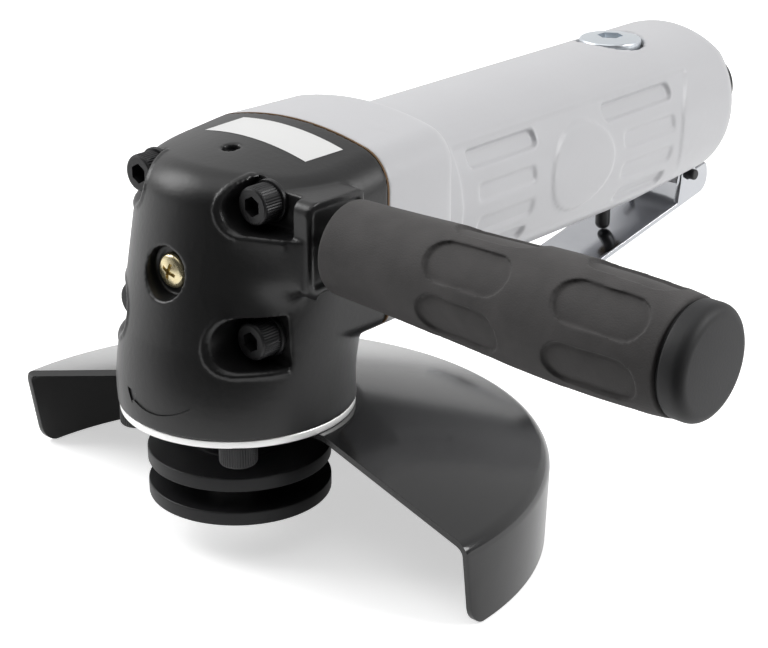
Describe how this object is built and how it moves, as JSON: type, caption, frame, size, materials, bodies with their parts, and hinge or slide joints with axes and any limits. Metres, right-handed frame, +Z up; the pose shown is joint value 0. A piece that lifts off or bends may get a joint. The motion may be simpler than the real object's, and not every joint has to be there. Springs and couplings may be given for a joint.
{
  "type": "air angle grinder",
  "caption": "Compressed air angle grinder with a leaning cast head, half-round wheel guard, clamping flanges, side handle, lever throttle and vane motor.",
  "frame": {"origin": "on the spindle axis, in the plane of the inner flange's wheel seat", "axes": "+X towards the side handle, +Y along the motor towards the air inlet, +Z up along the spindle"},
  "size_m": [0.1957, 0.2173, 0.0937],
  "materials": {
    "head_black": "satin black paint on a cast head",
    "guard_black": "semi-gloss black paint on sheet steel",
    "body_grey": "pale grey satin paint",
    "black_oxide": "black oxide steel",
    "zinc": "zinc plated steel",
    "yellow_zinc": "yellow passivated",
    "chrome": "polished chrome",
    "steel": "ground steel",
    "liner_iron": "honed cast iron",
    "plate_iron": "ground cast iron",
    "bronze": "turned bronze",
    "gasket_fibre": "brown gasket fibre",
    "vane_resin": "brown laminated resin",
    "rubber_black": "nitrile rubber",
    "felt": "grey felt",
    "grip_plastic": "grained charcoal moulding",
    "cap_plastic": "smooth charcoal moulding",
    "deflector_plastic": "black moulding"
  },
  "bodies": {
    "housing": {"gear_housing": "head_black", "housing_gasket": "gasket_fibre", "housing_screws": "black_oxide", "screw_washers": "black_oxide", "grease_plug": "yellow_zinc", "top_set_screw": "black_oxide", "bearing_retainer": "zinc", "retainer_screws": "black_oxide", "wheel_guard": "guard_black", "motor_housing": "body_grey", "valve_plug": "zinc", "valve_plug_o_ring": "rubber_black", "lever_pin": "black_oxide", "exhaust_deflector": "deflector_plastic", "handle_grip": "grip_plastic", "handle_end_cap": "cap_plastic", "lower_bearing_outer": "steel", "upper_bearing_outer": "steel", "front_bearing_outer": "steel", "rear_bearing_outer": "steel", "spindle_seal": "felt", "front_end_plate": "plate_iron", "rear_end_plate": "plate_iron", "cylinder_liner": "liner_iron", "liner_dowel": "steel", "valve_spring": "steel", "valve_bush": "bronze", "inlet_bushing": "black_oxide", "inlet_strainer": "bronze", "exhaust_silencer": "felt", "handle_stud": "steel"},
    "spindle": {"spindle": "steel", "spindle_key": "steel", "bevel_gear": "steel", "lower_bearing_inner": "steel", "lower_bearing_balls": "steel", "upper_bearing_inner": "steel", "upper_bearing_balls": "steel", "inner_flange": "black_oxide", "flange_nut": "black_oxide"},
    "rotor": {"rotor": "steel", "rotor_vanes": "vane_resin", "bevel_pinion": "steel", "front_bearing_inner": "steel", "front_bearing_balls": "steel", "rear_bearing_inner": "steel", "rear_bearing_balls": "steel"},
    "lever": {"throttle_lever": "chrome"},
    "valve_pin": {"valve_pin": "black_oxide", "valve_seal": "rubber_black"}
  },
  "joints": [
    {"name": "rotor_spin", "type": "hinge", "parent": "housing", "child": "rotor", "pos_m": [0, 0.062, 0.0495], "axis": [0, 1, 0], "continuous": true},
    {"name": "spindle_spin", "type": "hinge", "parent": "housing", "child": "spindle", "pos_m": [0, 0, 0.02], "axis": [0, 0, 1], "continuous": true},
    {"name": "lever_squeeze", "type": "hinge", "parent": "housing", "child": "lever", "pos_m": [0, 0.168, 0.0295], "axis": [-1, 0, 0], "range_deg": [0, 10], "stiffness_Nm_per_rad": 1, "springref_deg": -5.73},
    {"name": "valve_lift", "type": "slide", "parent": "housing", "child": "valve_pin", "axis": [0, 0, 1], "range_m": [0, 0.0052], "deforming": ["valve_spring"]}
  ],
  "couplings": [
    {"joint": "spindle_spin", "follows": "rotor_spin", "ratio": 0.5},
    {"joint": "valve_lift", "follows": "lever_squeeze", "m_per_rad": 0.0288}
  ]
}
